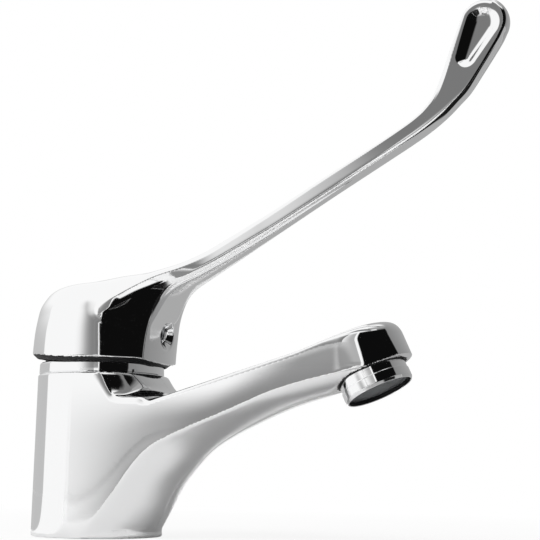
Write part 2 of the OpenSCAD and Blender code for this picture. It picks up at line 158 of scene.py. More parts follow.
# lower edge x z, top edge x z, half width, keel depth, spread of the sides and rounding of the top
LEVER = [
    (24.5, 50, 18.2, 50, 13.1, 3, 0.95, 0.06), (24.5, 58, 18.2, 58, 13.1, 3, 0.95, 0.06),
    (24.7, 66, 17.9, 66, 13.1, 3, 0.85, 0.06), (25.55, 74, 13.2, 74.8, 12.75, 2.9, 0.66, 0.06),
    (26.85, 80, 9.6, 82.3, 11.8, 2.6, 0.57, 0.1), (29.2, 85.3, 12, 89, 10.5, 2.2, 0.565, 0.3),
    (32.2, 89.2, 17, 94.2, 9, 1.7, 0.55, 0.42), (36.4, 92.2, 24, 97.6, 7.6, 1.4, 0.54, 0.45),
    (42, 95, 34, 100.5, 6.6, 1.2, 0.38, 0.45), (49, 98.6, 44.2, 104.4, 5.9, 1.1, 0.1, 0.45),
    (56.5, 102.4, 52.8, 108.7, 5.3, 1, 0, 0.42), (66, 107.3, 62.8, 113.8, 4.4, 0.8, 0, 0.36),
    (75.4, 112.2, 72.4, 118.7, 3.8, 0.6, 0, 0.3), (94.1, 122.4, 91, 128.7, 3.3, 0.5, 0, 0.24),
    (110, 131, 107, 137, 3.1, 0.5, 0, 0.2), (124.3, 138.8, 120.7, 144.5, 3, 0.5, 0, 0.2),
    (131.2, 143, 126.6, 148.4, 3, 0.5, 0, 0.2), (136.7, 147.1, 130.3, 152.2, 3, 0.5, 0, 0.2),
    (140.9, 151, 132.4, 155.4, 3, 0.5, 0, 0.2), (144.7, 154.9, 133.9, 158.6, 3, 0.6, 0, 0.2),
    (149.2, 161.4, 136, 164, 3.1, 0.6, 0, 0.2), (152.8, 166.7, 138, 169.6, 3.2, 0.6, 0, 0.2),
    (156, 171.6, 140.8, 177, 3.2, 0.6, 0, 0.2), (157.63, 174.81, 142.97, 182.59, 3.2, 0.6, 0, 0.2),
]
LEVER_DOME_MOST = 0.85
LEVER_KEEL_LEAST = -1.5
# rounding of the lever's lower edge, which grows above the cap and is less along the paddle
LEVER_EDGE = 0.9
LEVER_EDGE_MORE = 1.6
LEVER_EDGE_SPAN = (88, 104)
PADDLE_EDGE_LESS = 0.6
PADDLE_EDGE_SPAN = (146, 164)
# blend of the lever's sides into the cap, which grows up the flank
FLANK_BLEND = 0.15
FLANK_BLEND_MORE = 1.0
FLANK_BLEND_SPAN = (75, 84)
# top of the cap towards the lever: x, half width, height of the crease and of the ridge
SADDLE = [
    (-10, 12, 77, 92.6), (-4, 16, 78.5, 94.6), (1.2, 19, 79.5, 95.8), (6.6, 20.8, 80, 96.5),
    (10.6, 21.2, 80.5, 97), (14.1, 20.1, 82.4, 97.3), (17.7, 17.8, 84.6, 97.6),
    (22.3, 14.9, 87.6, 98.1), (26.9, 12.1, 90.3, 98.6), (31.7, 9.2, 92.9, 99.5),
    (35.1, 7.4, 94.6, 100.2), (40, 4.8, 95.5, 100.4),
]
SADDLE_SPAN = (-9, 37)
SADDLE_DRAFT = 0.3
SADDLE_DEPTH = 6.0
SADDLE_SLOPE = 0.85
SADDLE_BLEND = 1.6
# the paddle: rows of LEVER where it starts and is fully flat, its round tip and its edges
PADDLE_ROWS = (15, 19)
PADDLE_HALF = 3.2
PADDLE_DOME = 1.1
PADDLE_DRAFT = 0.28
PADDLE_DRAFT_DEPTH = 2.4
TIP = (150.3, 178.7)
TIP_R = 8.3
TIP_TURN = math.radians(62.0)
# finger recess of the paddle: x, z and radius of its far and near circle, depth and draft
RECESS_TOP = (150.3, 178.2, 6.4)
RECESS_FOOT = (144.4, 166.7, 4.1)
RECESS_DEPTH = 2.3
RECESS_DRAFT = 1.75
RECESS_OUTSIDE = 1.0
RECESS_FLOOR_EDGE = 0.9
RECESS_RIM_EDGE = 0.5
# block inside the cap with the square socket for the stem, and the set screw's hole in front
STEM_BLOCK = (7.8, 0, 79.25)
STEM_BLOCK_HALF = (16.8, 7, 9.75)
STEM_BLOCK_INSET = 1.0
STEM_LEAN = math.radians(10.0)
STEM_HALF = 4.05
STEM_TOP = 29.2
PIVOT = (0, 55.0)
SCREW = (28.0, 74.0)
SCREW_SINK = 2.8
SCREW_R = 3.05
DISH_R = 3.0
DISH_DRAFT = 0.68
DISH_DEPTH = 6.0
DISH_SLOPE = 0.8
DISH_EDGE = 0.5

# Sizes of the rings and the outlet mesh, in millimetres

# radius and height of the cover ring
COVER_PROFILE = [
    (20.05, 59.4), (23.0, 59.4), (23.5, 59.9), (23.48, 60.8), (23.4, 63.0), (23.25, 63.5),
    (22.9, 63.8), (21.6, 63.95), (21.4, 64.2), (21.3, 66.2), (21.1, 66.4), (18, 66.4), (18, 64),
    (20.05, 64),
]
# radius and height of the outlet ring, in the frame of the outlet
OUTLET_PROFILE = [
    (11.5, 0.15), (11.6, 0.0), (11.75, 0.0), (11.9, 0.08), (12.34, 0.9), (12.4, 1.1), (12.4, 3.9),
    (12.36, 4.05), (12.15, 4.2), (12.15, 6.2), (11.95, 6.3), (11.95, 13.0), (10.2, 13.0),
    (10.2, 2.3), (11.5, 2.2),
]
# crisp corners of the turned rings
LATHE_WHOLE = 0.6
LATHE_LOOP = 0.08
LATHE_SHARP = math.radians(28)
# wire mesh across the outlet: reach, height, pitch, wire, wires each side, lift of the second layer
MESH_R = 11.4
MESH_S = 1.55
MESH_PITCH = 0.95
MESH_WIRE = 0.32
MESH_WIRES = 11
MESH_LAYER = 0.25

# Limits of the painted shade, a near-black dull finish laid where shade falls, in the socket, the
# cap, the cover ring and the outlet ring

PAINTED_SHADE_SOCKET_R = 13.1
PAINTED_SHADE_SOCKET_MOUTH = 0.3
PAINTED_SHADE_SOCKET_TOP = 17.0
PAINTED_SHADE_ROOM = 0.35
PAINTED_SHADE_RIM = 0.12
PAINTED_SHADE_COVER_Z = 63.7
PAINTED_SHADE_OUTLET_R = 11.52

# The stage, in millimetres and degrees

# the photo's camera: directions to its right and towards it, its place along them and its height
CAMERA_RIGHT = (0.90719, 0.42072, 0)
CAMERA_TOWARD = (0.42072, -0.90719, 0)
CAMERA_BEARING = math.atan2(CAMERA_TOWARD[1], CAMERA_TOWARD[0])
CAMERA_AWAY = 490
CAMERA_ASIDE = 63.3
CAMERA_HEIGHT = 22.7
CAMERA_PITCH = math.radians(9.12)
CAMERA_ROLL = math.radians(0.80)
FOCAL_PIXELS = 1287
PHOTO_PIXELS = 540
SENSOR = 36.0
CLIP_START = 10

# Studio cards that the chrome mirrors: bearing right of the camera and elevation in degrees, how
# far the left and right edge lean with height, distance in millimetres, grey at the left and right
# edge, and the soft width of the left, right, top and bottom edge in degrees
Card = namedtuple("Card", "name start stop low high lean away tones soft")
UPRIGHT = (0.0, 0.0)
CARDS = (
    Card("black_flag", 1.0, 52, -9, 48, (0.0, 0.45), 513, (0.004, 0.004), (0.8, 1.5, 5.0, 2.0)),
    Card("dim_flag", -40, 0.4, 6.2, 54, UPRIGHT, 190, (0.22, 0.2), (40.0, 0.8, 16.0, 2.5)),
    Card("upper_card", 24, 95, 48, 80, UPRIGHT, 420, (0.38, 0.38), (4.0, 6.0, 20.0, 5.0)),
    Card("low_card", -53, 0.0, -14, 4, UPRIGHT, 260, (0.3, 0.26), (26.0, 0.8, 8.0, 1.0)),
    Card("far_card", -34, -7.7, -5, 50, UPRIGHT, 900, (0.5, 0.45), (22.0, 0.5, 10.0, 3.0)),
    Card("nose_card", -37, -7.7, -5, 8, UPRIGHT, 890, (0.32, 0.36), (6.0, 0.5, 4.0, 3.0)),
    Card("right_wall", 40, 180, -8, 70, UPRIGHT, 1600, (0.2, 0.45), (1.0, 1.0, 12.0, 4.0)),
    Card("left_wall", -181, -104, -8, 30, UPRIGHT, 1600, (0.55, 0.55), (1.0, 1.2, 24.0, 4.0)),
)
CARD_EYE_Z = 60
CARD_GRID = (48, 24)
# Upright card beside the lever: x from and to, y, height from and to, grey, and its soft shares
LEVER_CARD = (70, 170, -60, 140, 250, 0.2)
LEVER_CARD_SOFT = (0.25, 0.1, 0.2, 0.2)
# Sheets on the floor: bearings, nearest and farthest reach from the tap, grey, and the soft share
# of the left, right, far and near edge
SHEETS = (
    ("right_sheet", 18, 160, 110, 1500, 0.42, (0.04, 0.04, 0.05, 0.1)),
    ("left_sheet", -181, -104, 45, 1600, 0.55, (0.02, 0.02, 0.05, 0.1)),
    ("white_sheet", -106, -48, 30, 9000, 1.0, (0.02, 0.15, 0.01, 0.05)),
    ("black_sheet", 5, 66, 230, 515, 0.01, (0.05, 0.05, 0.05, 0.1)),
)
SHEET_Z = 0.3
SHEET_GAP = 0.2
FLOOR_HALF = 2500
FLOOR_Z = -0.02
FLOOR_GREY = (0.78, 0.78, 0.78)
FLOOR_ROUGHNESS = 0.9
# Lamps: name, place, width and power in watts
LAMPS = (
    ("soft_key", (-500, -900, 1100), 900, 22.0),
    ("soft_fill", (900, 300, 900), 900, 2.0),
)
LAMP_AIM = (40, 0, 80)

# Small tools for shapes

CHUNK = 60000
LEAST_SLOPE = 1e-4
TINY = 1e-9
# growing a skin: blocks of cells near it, the pull on to it and the reach of its normals
BLOCK = 8
BLOCK_NEAR = 1.5
PULL_REACHES = (0.08, 0.05, 0.03, 0.03)
PULL_LEAST = 0.05
PULL_MOST = 0.5
NORMAL_REACH = 0.25


def curve_through(rows, steps):
    """Points of a smooth curve through the rows, with the ends run on straight."""
    rows = np.array(rows, float)
    padded = np.vstack([2 * rows[0] - rows[1], rows, 2 * rows[-1] - rows[-2]])
    t = np.linspace(0, 1, steps, endpoint=False)[:, None]
    out = []
    for i in range(len(rows) - 1):
        a, b, c, d = padded[i:i + 4]
        out.append(0.5 * (2 * b + (c - a) * t + (2 * a - 5 * b + 4 * c - d) * t ** 2
                          + (3 * b - a - 3 * c + d) * t ** 3))
    out.append(rows[-1:])
    return np.vstack(out)


def read_off(curve, known, wanted, at):
    """The wanted column of a curve, where its known column has these values."""
    return np.interp(at, curve[:, known], curve[:, wanted])


def soft_max(a, b, k):
    """The larger of two distances, with an edge rounded over k."""
    return np.maximum(a, b) + np.maximum(k - np.abs(a - b), 0) ** 2 / (4 * k)


def soft_min(a, b, k):
    """The smaller of two distances, with a hollow corner rounded over k."""
    return np.minimum(a, b) - np.maximum(k - np.abs(a - b), 0) ** 2 / (4 * k)


def ease(low, high, v):
    """0 up to low, 1 from high on, and an even swing between them."""
    t = np.clip((v - low) / (high - low), 0, 1)
    return t * t * (3 - 2 * t)


def turned(x, z, centre, angle):
    """A point of the middle plane, from a centre and along axes turned by an angle."""
    sine, cosine = math.sin(angle), math.cos(angle)
    dx, dz = x - centre[0], z - centre[1]
    return dx * cosine + dz * sine, dz * cosine - dx * sine


def oval_distance(first, second, first_slope, second_slope):
    """Distance from an oval, by the shares of its half axes and how fast they change."""
    oval = np.hypot(first, second)
    steep = np.hypot(first_slope, second_slope)
    return (oval - 1) * oval / np.maximum(steep, LEAST_SLOPE)


def in_chunks(field, points):
    """Values of a field at many points, worked out some at a time."""
    out = np.empty(len(points))
    for start in range(0, len(points), CHUNK):
        p = points[start:start + CHUNK]
        out[start:start + CHUNK] = field(p[:, 0], p[:, 1], p[:, 2])
    return out


def gradient(field, points, reach):
    """Slope of a field at the points, taken over reach to both sides."""
    out = np.empty_like(points)
    for axis in range(3):
        step = np.zeros(3)
        step[axis] = reach
        out[:, axis] = in_chunks(field, points + step) - in_chunks(field, points - step)
    return out / (2 * reach)


CORNERS = [(i, j, k) for i in (0, 1) for j in (0, 1) for k in (0, 1)]
EDGES = [
    (a, b) for a in CORNERS for b in CORNERS
    if sum(b) - sum(a) == 1 and all(q >= p for p, q in zip(a, b))
]


def field_values(field, low, counts, step):
    """The field on a grid: exact in blocks near the skin, and only its sign elsewhere."""
    coarse = -(-counts // BLOCK)
    blocks = np.stack(np.meshgrid(*[np.arange(c) for c in coarse], indexing="ij"), -1).reshape(-1, 3)
    rough = in_chunks(field, low + (blocks * BLOCK + (BLOCK - 1) / 2) * step)

    def spread(flat):
        grid = flat.reshape(coarse)
        for axis in range(3):
            grid = grid.repeat(BLOCK, axis)
        return grid[:counts[0], :counts[1], :counts[2]]

    values = spread(np.where(rough < 0, -1.0, 1.0)).copy()
    near = np.argwhere(spread(np.abs(rough) < BLOCK_NEAR * BLOCK * step))
    values[tuple(near.T)] = in_chunks(field, low + near * step)
    return values


def skin_cells(values):
    """Grid cells that the skin passes through, and where in each cell it lies on average."""
    inside = values < 0
    shape = np.array(values.shape) - 1
    total = np.zeros(shape, np.int8)
    for i, j, k in CORNERS:
        total += inside[i:shape[0] + i, j:shape[1] + j, k:shape[2] + k]
    cells = np.argwhere((total > 0) & (total < len(CORNERS)))
    if not len(cells):
        raise RuntimeError("no skin was found in the box of this piece")
    summed = np.zeros((len(cells), 3))
    found = np.zeros(len(cells))
    for a, b in EDGES:
        va = values[tuple((cells + a).T)]
        vb = values[tuple((cells + b).T)]
        crossed = (va < 0) != (vb < 0)
        t = np.where(crossed, va / np.where(crossed, va - vb, 1), 0)
        summed[crossed] += (np.array(a) + t[:, None] * (np.array(b) - np.array(a)))[crossed]
        found += crossed
    return cells, summed / found[:, None]


def skin_quads(values, cells):
    """One face, turned outward, for each grid edge that crosses the skin."""
    inside = values < 0
    counts = values.shape
    cell_at = np.full(np.array(counts) - 1, -1, np.int64)
    cell_at[tuple(cells.T)] = np.arange(len(cells))
    quads = []
    for axis, u, v in ((0, 1, 2), (1, 2, 0), (2, 0, 1)):
        ahead, du, dv = np.eye(3, dtype=int)[[axis, u, v]]
        first = inside[:counts[0] - ahead[0], :counts[1] - ahead[1], :counts[2] - ahead[2]]
        second = inside[ahead[0]:, ahead[1]:, ahead[2]:]
        at = np.argwhere(first != second)
        for across in (u, v):
            at = at[(at[:, across] > 0) & (at[:, across] < counts[across] - 1)]
        ring = [cell_at[tuple((at - s * du - t * dv).T)] for s, t in ((1, 1), (0, 1), (0, 0), (1, 0))]
        quad = np.stack(ring, -1)
        inward = ~first[tuple(at.T)]
        quad[inward] = quad[inward][:, ::-1]
        quads.append(quad)
    return np.vstack(quads)


def grow_skin(field, box, step):
    """Points, normals and quads of the skin where field is zero."""
    low = np.array(box[0], float)
    counts = np.ceil((np.array(box[1]) - low) / step).astype(int) + 1
    values = field_values(field, low, counts, step)
    cells, middles = skin_cells(values)
    points = low + (cells + middles) * step
    for reach in PULL_REACHES:
        value = in_chunks(field, points)
        slope = gradient(field, points, reach)
        move = slope * (value / np.maximum((slope ** 2).sum(1), PULL_LEAST))[:, None]
        length = np.sqrt((move ** 2).sum(1))
        points -= move * np.minimum(1, PULL_MOST * step / np.maximum(length, TINY))[:, None]
    normals = gradient(field, points, NORMAL_REACH)
    normals /= np.maximum(np.sqrt((normals ** 2).sum(1)), TINY)[:, None]
    return points, normals, skin_quads(values, cells)


def put_mesh(name, points, quads, normals=None):
    """A new smooth-shaded object from points in millimetres."""
    mesh = bpy.data.meshes.new(name)
    mesh.from_pydata((np.array(points) * MM).tolist(), [], np.array(quads).tolist())
    mesh.polygons.foreach_set("use_smooth", [True] * len(mesh.polygons))
    mesh.update()
    if normals is not None:
        mesh.normals_split_custom_set_from_vertices(normals.tolist())
    obj = bpy.data.objects.new(name, mesh)
    bpy.context.scene.collection.objects.link(obj)
    return obj


def lathe(name, profile, place, around):
    """A closed ring turned from a profile of radius and height, with crisp corners."""
    held = []
    for (r, h), (s, k) in zip(profile, profile[1:] + profile[:1]):
        length = math.hypot(s - r, k - h)
        held.append((r, h))
        if length > LATHE_WHOLE:
            share = LATHE_LOOP / length
            held.extend((r + (s - r) * t, h + (k - h) * t) for t in (share, 1 - share))
    points = []
    for i in range(around):
        a = 2 * math.pi * i / around
        points.extend(place(r * math.cos(a), r * math.sin(a), h) for r, h in held)
    n = len(held)
    quads = []
    for i in range(around):
        j = (i + 1) % around
        for k in range(n):
            m = (k + 1) % n
            quads.append((i * n + k, j * n + k, j * n + m, i * n + m))
    obj = put_mesh(name, points, quads)
    obj.data.set_sharp_from_angle(angle=LATHE_SHARP)
    return obj


def at_column(x, y, h):
    """A point given in the frame of the column, which is the tap's own."""
    return (x, y, h)


def at_outlet(x, y, h):
    """A point given in the frame of the outlet ring, as a point of the tap."""
    out, up = turned(x, h, (0, 0), -OUTLET_LEAN)
    return (OUTLET[0] + out, y, OUTLET[1] + up)


def from_outlet(x, y, z):
    """Radius and height of a point about the axis of the outlet ring."""
    across, height = turned(x, z, OUTLET, OUTLET_LEAN)
    return np.hypot(across, y), height


# Shape of the body

KEEL_CURVE = curve_through(KEEL, steps=120)
NECK_CURVE = curve_through(NECK, steps=80)
NECK_FRONT_CURVE = curve_through(NECK_FRONT, steps=80)
SPOUT_TAPER = (SPOUT_ROOT - NOSE_R) / (OUTLET[0] - NOSE_SETBACK)


def column_radius(z):
    """Radius of the slightly drafted column."""
    return COLUMN_FOOT_R - COLUMN_DRAFT * np.clip(z, 0, COLUMN_DRAFT_TOP) / COLUMN_TOP


def crown_field(x, y, z):
    """Distance above the gently domed top of the spout."""
    up = turned(x, z, CROWN, SPOUT_RISE)[1] - CROWN_LIFT * ease(*CROWN_LIFT_SPAN, x)
    return np.hypot(up + CROWN_R, y) - CROWN_R


def hull_field(x, y, z, crown):
    """Distance from the spout's sides, from the column to the round nose."""
    nose = OUTLET[0] - (z - OUTLET[1]) * math.tan(OUTLET_LEAN) + NOSE_REACH - NOSE_START
    nose = np.maximum(nose, NOSE_LEAST)
    side = np.abs(y)
    half = (column_radius(z) * SPOUT_FIT - SPOUT_TAPER * np.maximum(x, SPOUT_TANGENT)
            - SPOUT_BACK_DRAFT * np.maximum(SPOUT_TANGENT - x, 0))
    past = np.maximum(x - NOSE_START, 0) / nose
    hull = np.where(x > 0, oval_distance(past, side / half, past / nose, side / half ** 2),
                    np.hypot(side, x) - SPOUT_BACK_R)

    crease_z = read_off(KEEL_CURVE, 1, 0, x)
    below = TUCK_BELOW * np.maximum(z - crease_z, 0)
    above = np.maximum(-crown, 0) + TUCK_CLEAR
    tuck = (TUCK + TUCK_MORE * ease(*TUCK_MORE_SPAN, x)) * ease(*TUCK_SPAN, x)
    barrel = tuck * above ** 2 / (below + above)
    tilt = SIDE_TILT * (z - SIDE_TILT_Z) * ease(*SIDE_TILT_SPAN, x)
    return hull + (barrel + tilt) * (1 - ease(*BARREL_END_SPAN, x))


def keel_field(x, y, z):
    """Distance from the curved underside of the spout."""
    crease = read_off(KEEL_CURVE, 0, 1, z)
    front = read_off(KEEL_CURVE, 0, 2, z)
    ahead = read_off(KEEL_CURVE, 0, 2, z + KEEL_PROBE)
    drop = (front - crease) / (SPOUT_ROOT - SPOUT_TAPER * crease) ** 2
    lean = np.hypot(1, np.hypot((ahead - front) / KEEL_PROBE, 2 * drop * y))
    return (x - front + drop * y * y) / lean


def neck_field(x, r, z):
    """Distance above the valley between the neck and the spout."""
    frontal = ease(*NECK_FRONT_SHARE, x / np.maximum(r, 1))
    valley = (read_off(NECK_CURVE, 0, 1, r) * (1 - frontal)
              + read_off(NECK_FRONT_CURVE, 0, 1, r) * frontal)
    return (z - valley) * NECK_SLOPE


def body_field(x, y, z):
    """Distance from the skin of the body: column, neck, spout and bores."""
    r = np.hypot(x, y)
    column = soft_max(r - column_radius(z), z - COLUMN_TOP, COLUMN_EDGE)
    crown = crown_field(x, y, z)
    spout = soft_max(hull_field(x, y, z, crown), keel_field(x, y, z), KEEL_EDGE)
    top = soft_min(crown, neck_field(x, r, z), NECK_BLEND)
    spout = soft_max(spout, top, CROWN_EDGE + CROWN_EDGE_NOSE * ease(*CROWN_EDGE_SPAN, x))
    solid = np.minimum(column, spout)

    ring_r, s = from_outlet(x, y, z)
    solid = soft_max(solid, -np.maximum(s - BOSS_S, ring_r - BOSS_CUT_R), BOSS_EDGE)
    solid = soft_max(solid, -np.maximum(ring_r - SOCKET_R, s - SOCKET_TOP), SOCKET_EDGE)

    solid = soft_max(solid, -z, COLUMN_EDGE)
    for bore_r, floor in CARTRIDGE_BORES:
        solid = np.maximum(solid, -np.maximum(r - bore_r, floor - z))
    for hole_x, hole_y, hole_r, ceiling in FOOT_HOLES:
        hole = np.hypot(x - hole_x, y - hole_y) - hole_r
        solid = np.maximum(solid, -np.maximum(hole, z - ceiling))
    groove_r, groove_half, groove_top = SEAL_GROOVE
    return np.maximum(solid, -np.maximum(np.abs(r - groove_r) - groove_half, z - groove_top))


# Shape of the handle

LEVER_STEPS = 120
LEVER_CURVE = curve_through(LEVER, LEVER_STEPS)
LEVER_MIDDLE = (LEVER_CURVE[:, 0:2] + LEVER_CURVE[:, 2:4]) / 2
LEVER_INDEX = np.arange(len(LEVER_CURVE))
CAP_CURVE = curve_through(CAP, steps=120)
CAP_ANGLE = np.arctan2(CAP_CURVE[:, 1] - CAP_WAIST, CAP_CURVE[:, 0])
CAP_REACH = np.hypot(CAP_CURVE[:, 1] - CAP_WAIST, CAP_CURVE[:, 0])
SADDLE_CURVE = curve_through(SADDLE, steps=60)
RIM_CURVE = curve_through(RIM, steps=60)
# search for a point's section, in steps of the lever's curve
SECTION_COARSE = 4
SECTION_ROUNDS = 10
SECTION_PROBE = 2
SECTION_SLOPE = -0.006
SECTION_MOVE = 40
SECTION_END = 1.001


def lever_columns(at, count):
    """The first count columns of the lever's curve, at places along it."""
    return [np.interp(at, LEVER_INDEX, LEVER_CURVE[:, i]) for i in range(count)]


def lever_section(x, z):
    """Where along the lever the cross section through each point lies."""
    stride = LEVER_STEPS // SECTION_COARSE
    coarse = LEVER_MIDDLE[::stride]
    apart = (x[:, None] - coarse[None, :, 0]) ** 2 + (z[:, None] - coarse[None, :, 1]) ** 2
    at = apart.argmin(1) * float(stride)

    def past(at):
        low_x, low_z, top_x, top_z = lever_columns(at, 4)
        wide, tall = top_x - low_x, top_z - low_z
        return (tall * (x - low_x) - wide * (z - low_z)) / np.hypot(wide, tall)

    for _ in range(SECTION_ROUNDS):
        here = past(at)
        slope = np.minimum((past(at + SECTION_PROBE) - here) / SECTION_PROBE, SECTION_SLOPE)
        move = np.clip(here / slope, -SECTION_MOVE, SECTION_MOVE)
        at = np.clip(at - move, 0, len(LEVER_CURVE) - SECTION_END)
    return at


def lever_faces(x, y, z):
    """Distances from the sides and top of the lever, and from its underside and front."""
    at = lever_section(x, z)
    low_x, low_z, top_x, top_z, half, keel, spread, top = lever_columns(at, 8)
    wide, tall = top_x - low_x, top_z - low_z
    span = np.hypot(wide, tall)
    up = ((x - low_x) * wide + (z - low_z) * tall) / span
    down = span - up

    ahead, across = turned(x, z, TIP, TIP_TURN)
    inset = TIP_R - np.hypot(ahead, across)
    beyond = ahead > 0
    up = np.where(beyond, np.where(across < 0, inset, 2 * TIP_R - inset), up)
    down = np.where(beyond, np.where(across < 0, 2 * TIP_R - inset, inset), down)
    span = np.where(beyond, 2 * TIP_R, span)

    flat = ease(PADDLE_ROWS[0] * LEVER_STEPS, PADDLE_ROWS[1] * LEVER_STEPS, at)
    dome = np.minimum(top * span, LEVER_DOME_MOST * half) * (1 - flat) + PADDLE_DOME * flat
    reach = (half + spread * np.clip(up, 0, span - dome)
             - PADDLE_DRAFT * flat * np.maximum(PADDLE_DRAFT_DEPTH - down, 0))
    rise = np.maximum(dome - down, 0) / dome
    skin = oval_distance(y / reach, rise, y / reach ** 2 * np.hypot(1, spread), rise / dome)
    below = -up - keel * np.maximum(1 - (y / half) ** 2, LEVER_KEEL_LEAST)
    return np.maximum(skin, -down), below


def saddle_field(x, y, z):
    """The domed top that runs from the cap into the lever."""
    half, low, high = [read_off(SADDLE_CURVE, 0, i, x) for i in (1, 2, 3)]
    half = half - SADDLE_DRAFT * np.maximum(low - z, 0)
    rise = np.maximum(z - low, 0) / (high - low)
    skin = oval_distance(y / half, rise, y / half ** 2, rise / (high - low)) * SADDLE_SLOPE
    ends = np.maximum(x - SADDLE_SPAN[1], SADDLE_SPAN[0] - x)
    return np.maximum(np.maximum(skin, ends), low - SADDLE_DEPTH - z)


def recess_field(x, y, z):
    """The drafted finger recess in each face of the paddle."""
    top_x, top_z, top_r = RECESS_TOP
    run_x, run_z, run_r = [foot - top for foot, top in zip(RECESS_FOOT, RECESS_TOP)]
    length = math.hypot(run_x, run_z)
    t = np.clip(((x - top_x) * run_x + (z - top_z) * run_z) / length ** 2, 0, 1)
    plan = np.hypot(x - top_x - t * run_x, z - top_z - t * run_z) - (top_r + t * run_r)
    depth = PADDLE_HALF - np.abs(y)
    drafted = plan + RECESS_DRAFT * np.maximum(depth, -RECESS_OUTSIDE)
    wall = drafted / math.hypot(1, RECESS_DRAFT)
    return soft_max(wall, depth - RECESS_DEPTH, RECESS_FLOOR_EDGE)


def cap_field(x, y, z):
    """Distance from the outside of the leaning cap."""
    out, up = turned(x, z, CAP_FOOT, CAP_LEAN)
    radial, axial = np.hypot(out, y), CAP_FOOT[1] + up - CAP_WAIST
    reach = np.interp(np.arctan2(axial, radial), CAP_ANGLE, CAP_REACH)
    return (np.hypot(axial, radial) - reach) * CAP_SLOPE


def cap_room(x, y, z):
    """The hollow under the cap, for the cartridge."""
    heights, radii = np.array(CAP_ROOM).T
    wall = np.hypot(x, y) - np.interp(z, heights, radii)
    return np.maximum(wall * CAP_ROOM_SLOPE, z - heights[-1])


def cap_rim(x, y, z):
    """How far a point lies below the sloping, drafted rim of the cap."""
    inward = np.clip(RIM_R - np.hypot(x, y), 0, RIM_WALL)
    edge = read_off(RIM_CURVE, 0, 1, x)
    return (edge - RIM_DRAFT * inward - z) * RIM_SLOPE


def stem_cuts(x, y, z):
    """The stem's square socket, and the set screw's bore and dish."""
    out, height = turned(x, z, PIVOT, -STEM_LEAN)
    socket = np.maximum(np.maximum(np.abs(out), np.abs(y)) - STEM_HALF, height - STEM_TOP)
    screw_out, screw_height = turned(*SCREW, PIVOT, -STEM_LEAN)
    floor = screw_out - SCREW_SINK
    screw_r = np.hypot(height - screw_height, y)
    bore = np.maximum(screw_r - SCREW_R, -out)
    dish = (screw_r - DISH_R - DISH_DRAFT * np.clip(out - floor, 0, DISH_DEPTH)) * DISH_SLOPE
    return socket, bore, np.maximum(dish, floor - out)


def handle_field(x, y, z):
    """Distance from the skin of the cap and lever."""
    cap = cap_field(x, y, z)
    sides, below = lever_faces(x, y, z)
    flank = FLANK_BLEND + FLANK_BLEND_MORE * ease(*FLANK_BLEND_SPAN, z)
    shell = soft_min(cap, sides, flank)
    shell = soft_min(shell, saddle_field(x, y, z), SADDLE_BLEND)
    paddle = 1 - PADDLE_EDGE_LESS * ease(*PADDLE_EDGE_SPAN, z)
    edge = LEVER_EDGE + LEVER_EDGE_MORE * ease(*LEVER_EDGE_SPAN, z) * paddle
    solid = soft_max(shell, below, edge)

    solid = soft_max(solid, -cap_room(x, y, z), CAP_ROOM_EDGE)
    solid = soft_max(solid, cap_rim(x, y, z), RIM_EDGE)
    walls = zip((x, y, z), STEM_BLOCK, STEM_BLOCK_HALF)
    block = np.maximum.reduce([np.abs(v - centre) - half for v, centre, half in walls])
    solid = np.minimum(solid, np.maximum(block, cap + STEM_BLOCK_INSET))
    socket, bore, dish = stem_cuts(x, y, z)
    solid = np.maximum(np.maximum(solid, -socket), -bore)
    solid = soft_max(solid, -dish, DISH_EDGE)
    return soft_max(solid, -recess_field(x, y, z), RECESS_RIM_EDGE)


# Finishes

BUMP_DEPTH = 0.2 * MM
SPECK_GREY = (0.5, 0.5, 0.5)
WIPE_STRETCH = (1.0, 6.0, 6.0)
WIPE_TURN = (0.3, 0.5, 0.2)


def new_material(name):
    """A new material with its nodes and main shader."""
    material = bpy.data.materials.new(name)
    material.use_nodes = True
    nodes = material.node_tree.nodes
    return material, nodes, nodes["Principled BSDF"]


def join(source, socket):
    """Link an output to an input of the same node tree."""
    socket.id_data.links.new(source, socket)


def fill(node, values):
    """Set fixed values on the inputs of a node."""
    for name, value in values.items():
        node.inputs[name].default_value = value


def noise(nodes, coords, scale, detail=3.0, stretch=None):
    """Noise in the piece's own space, stretched into strokes if asked."""
    texture = nodes.new("ShaderNodeTexNoise")
    fill(texture, {"Scale": scale, "Detail": detail})
    source = coords.outputs["Object"]
    if stretch:
        mapping = nodes.new("ShaderNodeMapping")
        fill(mapping, {"Scale": stretch, "Rotation": WIPE_TURN})
        join(source, mapping.inputs["Vector"])
        source = mapping.outputs["Vector"]
    join(source, texture.inputs["Vector"])
    return texture.outputs["Fac"]


def ramp(nodes, source, low, high, start, stop):
    """A value that goes from low to high while its source goes from start to stop."""
    node = nodes.new("ShaderNodeMapRange")
    fill(node, {"From Min": start, "From Max": stop, "To Min": low, "To Max": high})
    join(source, node.inputs["Value"])
    return node.outputs["Result"]


def reckon(nodes, operation, *sources, clamp=False):
    """One sum of linked values."""
    node = nodes.new("ShaderNodeMath")
    node.operation = operation
    node.use_clamp = clamp
    for socket, source in zip(node.inputs, sources):
        join(source, socket)
    return node.outputs[0]


def mix_colours(nodes, share, first, second):
    """A colour between two fixed ones."""
    mix = nodes.new("ShaderNodeMix")
    mix.data_type = "RGBA"
    fill(mix, {"A": (*first, 1), "B": (*second, 1)})
    join(share, mix.inputs["Factor"])
    return mix.outputs["Result"]


def mix_shaders(nodes, share, first, second):
    """A shader between two others."""
    mix = nodes.new("ShaderNodeMixShader")
    for socket, source in zip(mix.inputs, (share, first.outputs[0], second.outputs[0])):
        join(source, socket)
    return mix.outputs[0]


def emboss(nodes, shader, height, strength):
    """Fine relief on a shader."""
    relief = nodes.new("ShaderNodeBump")
    fill(relief, {"Strength": strength, "Distance": BUMP_DEPTH})
    join(height, relief.inputs["Height"])
    join(relief.outputs["Normal"], shader.inputs["Normal"])


